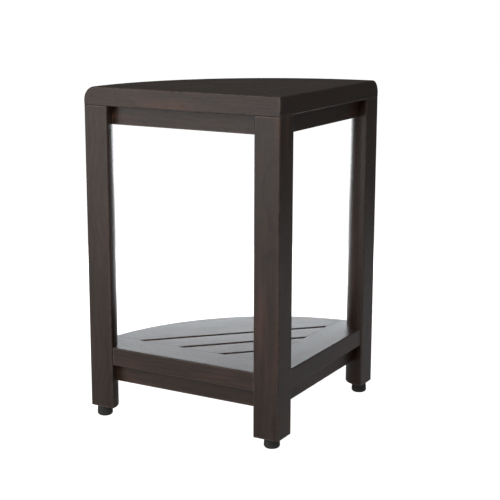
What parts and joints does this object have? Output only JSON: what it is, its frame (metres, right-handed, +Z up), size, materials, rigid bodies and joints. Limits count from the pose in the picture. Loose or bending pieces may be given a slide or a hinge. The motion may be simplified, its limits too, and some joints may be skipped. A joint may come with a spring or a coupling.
{
  "type": "corner shower stool",
  "caption": "Dark-stained wooden corner stool with a slotted quarter-round seat, a matching lower shelf, straight legs, recessed aprons and screw-in levelling feet.",
  "frame": {"origin": "middle of the 304.8 mm square that the stool fills in plan, on the floor", "axes": "+Z up; the right straight side faces -Y and runs along X, the left straight side faces -X and runs along Y; the corner leg is at (-X, -Y) and the curved front bulges towards (+X, +Y)"},
  "size_m": [0.3048, 0.3048, 0.4743],
  "materials": {
    "stained_wood": "dark espresso stain under satin lacquer",
    "tenon_wood": "raw beech",
    "screw_steel": "zinc plated",
    "zinc_steel": "bright zinc plated",
    "foot_plastic": "matte black moulded plastic"
  },
  "bodies": {
    "stool_frame": {"corner_leg": "stained_wood", "right_leg": "stained_wood", "left_leg": "stained_wood", "right_seat_apron": "stained_wood", "left_seat_apron": "stained_wood", "seat_front_apron": "stained_wood", "right_seat_rail": "stained_wood", "left_seat_rail": "stained_wood", "seat_corner_board": "stained_wood", "seat_inner_slat": "stained_wood", "seat_outer_slat": "stained_wood", "seat_front_board": "stained_wood", "right_shelf_apron": "stained_wood", "left_shelf_apron": "stained_wood", "shelf_front_apron": "stained_wood", "right_shelf_rail": "stained_wood", "left_shelf_rail": "stained_wood", "shelf_corner_board": "stained_wood", "shelf_inner_slat": "stained_wood", "shelf_outer_slat": "stained_wood", "shelf_front_board": "stained_wood", "seat_loose_tenons": "tenon_wood", "shelf_loose_tenons": "tenon_wood", "leg_loose_tenons": "tenon_wood", "seat_screws": "screw_steel", "shelf_screws": "screw_steel", "foot_inserts": "zinc_steel"},
    "corner_stud": {"corner_foot_stud": "zinc_steel"},
    "corner_pad": {"corner_foot_pad": "foot_plastic"},
    "right_stud": {"right_foot_stud": "zinc_steel"},
    "right_pad": {"right_foot_pad": "foot_plastic"},
    "left_stud": {"left_foot_stud": "zinc_steel"},
    "left_pad": {"left_foot_pad": "foot_plastic"}
  },
  "joints": [
    {"name": "corner_foot_travel", "type": "slide", "parent": "stool_frame", "child": "corner_stud", "axis": [0, 0, -1], "range_m": [0, 0.01]},
    {"name": "corner_foot_turn", "type": "hinge", "parent": "corner_stud", "child": "corner_pad", "pos_m": [-0.13335, -0.13335, 0], "axis": [0, 0, -1], "range_deg": [0, 2880]},
    {"name": "right_foot_travel", "type": "slide", "parent": "stool_frame", "child": "right_stud", "axis": [0, 0, -1], "range_m": [0, 0.01]},
    {"name": "right_foot_turn", "type": "hinge", "parent": "right_stud", "child": "right_pad", "pos_m": [0.1384, -0.1384, 0], "axis": [0, 0, -1], "range_deg": [0, 2880]},
    {"name": "left_foot_travel", "type": "slide", "parent": "stool_frame", "child": "left_stud", "axis": [0, 0, -1], "range_m": [0, 0.01]},
    {"name": "left_foot_turn", "type": "hinge", "parent": "left_stud", "child": "left_pad", "pos_m": [-0.1384, 0.1384, 0], "axis": [0, 0, -1], "range_deg": [0, 2880]}
  ],
  "couplings": [
    {"joint": "corner_foot_turn", "follows": "corner_foot_travel", "rad_per_m": 5026.5},
    {"joint": "right_foot_turn", "follows": "right_foot_travel", "rad_per_m": 5026.5},
    {"joint": "left_foot_turn", "follows": "left_foot_travel", "rad_per_m": 5026.5}
  ]
}
